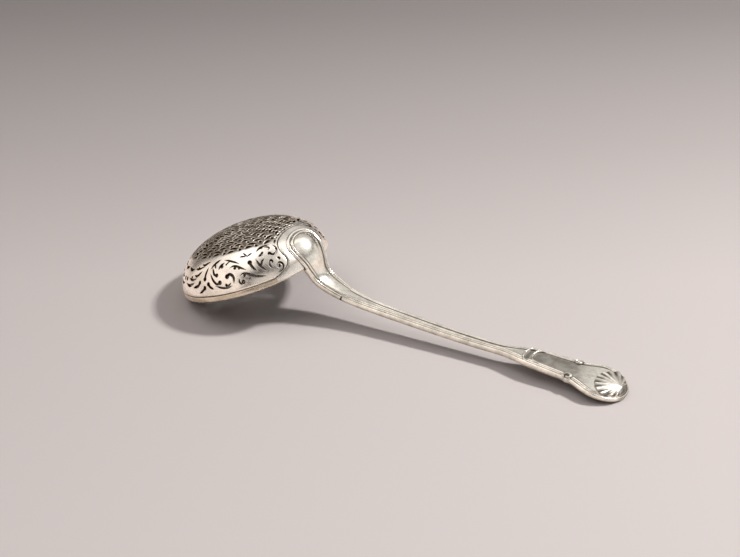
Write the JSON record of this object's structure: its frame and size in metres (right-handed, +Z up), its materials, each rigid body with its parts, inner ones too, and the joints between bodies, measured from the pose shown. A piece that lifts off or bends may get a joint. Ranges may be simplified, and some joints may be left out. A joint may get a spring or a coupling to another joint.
{
  "type": "sugar sifter spoon",
  "caption": "Silver spoon for sifting sugar: a round domed bowl pierced with scrolls and slots, a drop-shaped heel, and a threaded handle that widens to a shell.",
  "frame": {"origin": "on the table under the middle of the spoon's length, as it lies bowl down", "axes": "+X from the bowl along the handle to its end, +Y across the spoon, +Z up from the table"},
  "size_m": [0.2099, 0.0674, 0.0364],
  "materials": {
    "sheet_silver": "polished silver sheet, soft tarnish in the piercings",
    "wire_silver": "polished silver wire, worn smooth",
    "forged_silver": "polished silver, fine scratches and dark grooves",
    "shell_silver": "polished silver ridges with dark hollows"
  },
  "bodies": {
    "root": {"pierced_bowl": "sheet_silver", "rim_wire": "wire_silver", "heel_plate": "sheet_silver", "neck_drop": "forged_silver", "stem": "forged_silver", "shell_ornament": "shell_silver"}
  },
  "joints": []
}
